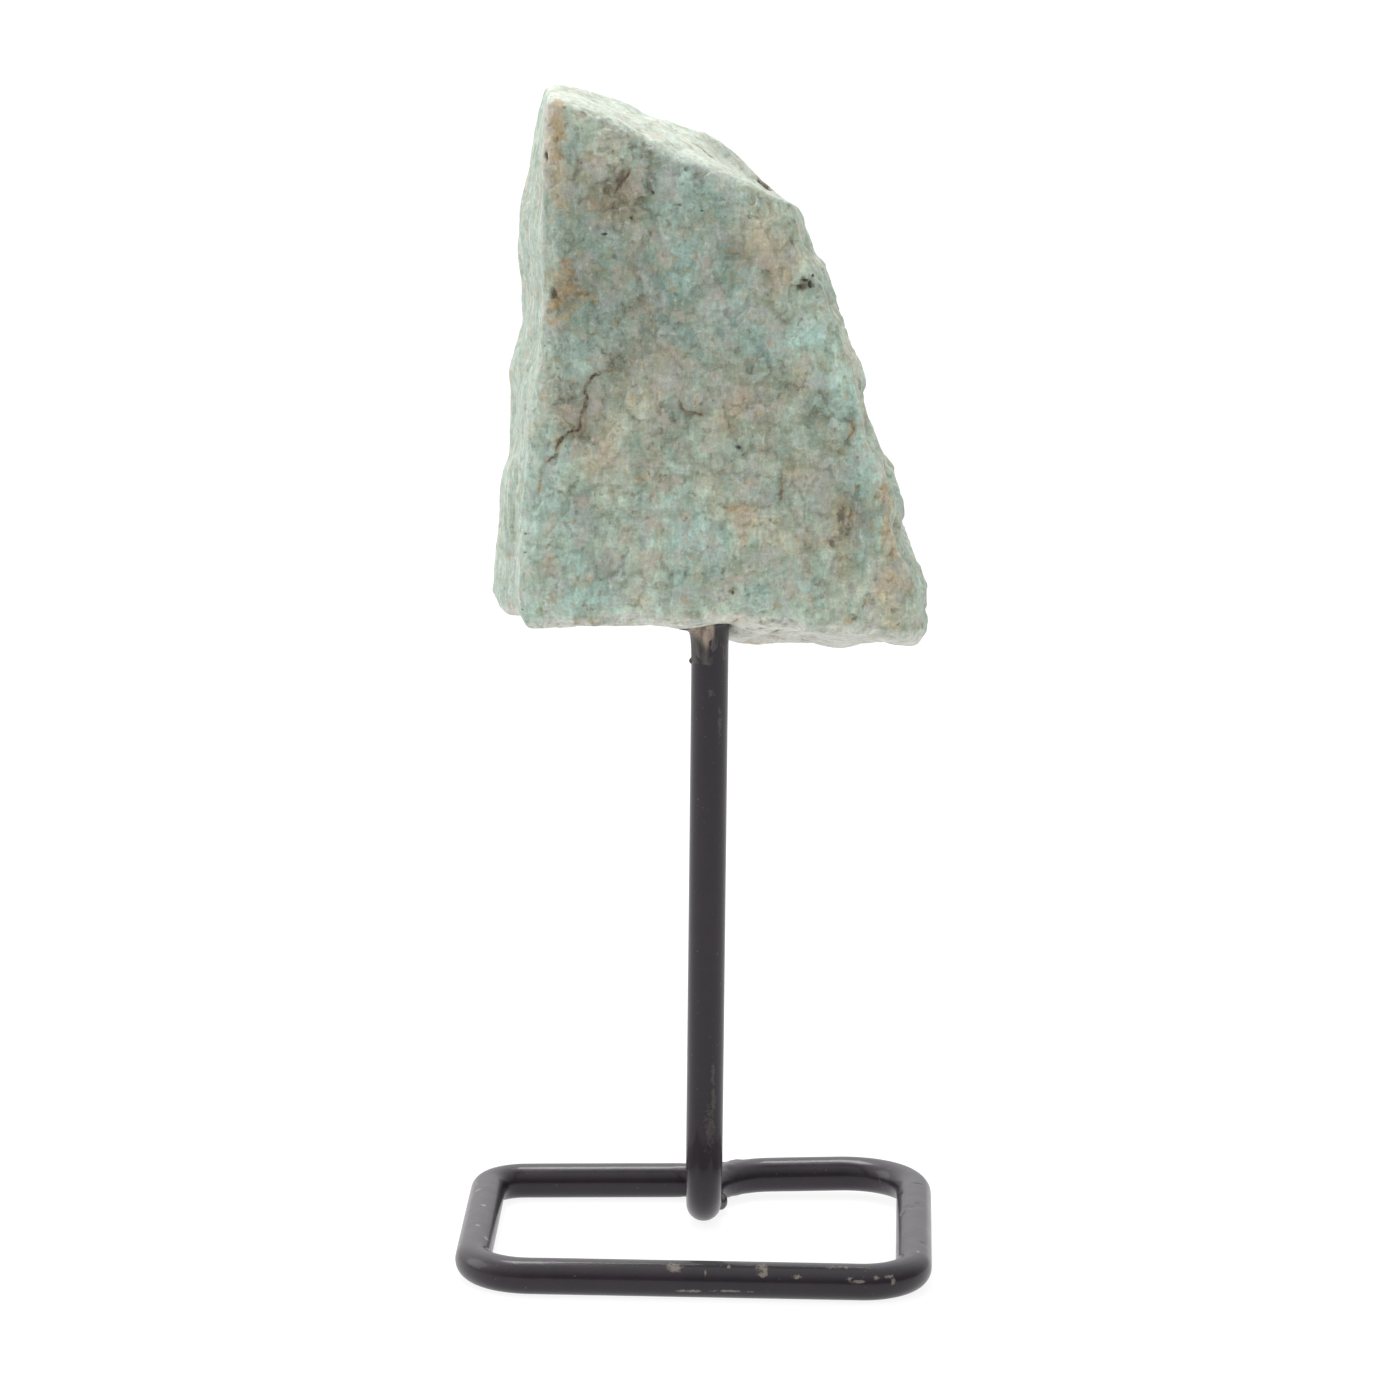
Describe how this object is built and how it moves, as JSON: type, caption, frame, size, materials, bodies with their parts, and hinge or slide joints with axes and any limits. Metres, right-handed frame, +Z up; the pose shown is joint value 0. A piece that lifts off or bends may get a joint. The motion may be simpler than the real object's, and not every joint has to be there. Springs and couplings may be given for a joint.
{
  "type": "rough amazonite specimen on a wire pin stand",
  "caption": "Rough blue-green amazonite fragment glued on the upright of a bent black wire stand with a rectangular loop base.",
  "frame": {"origin": "on the surface the stand rests on, in the middle of the whole object's footprint box", "axes": "+Z up along the upright, +X to the right along the stone's broad front face, +Y to the back"},
  "size_m": [0.0547, 0.0465, 0.1325],
  "materials": {
    "amazonite": "raw cleavage and fracture faces, blue-green with cream perthite streaks and ochre stains",
    "black_paint": "satin black paint on steel wire, with chips and scuffs",
    "epoxy_glue": "cured epoxy, grey-brown, partly overpainted"
  },
  "bodies": {
    "root": {"amazonite_stone": "amazonite", "wire_stand": "black_paint", "glue_collar": "epoxy_glue"}
  },
  "joints": []
}
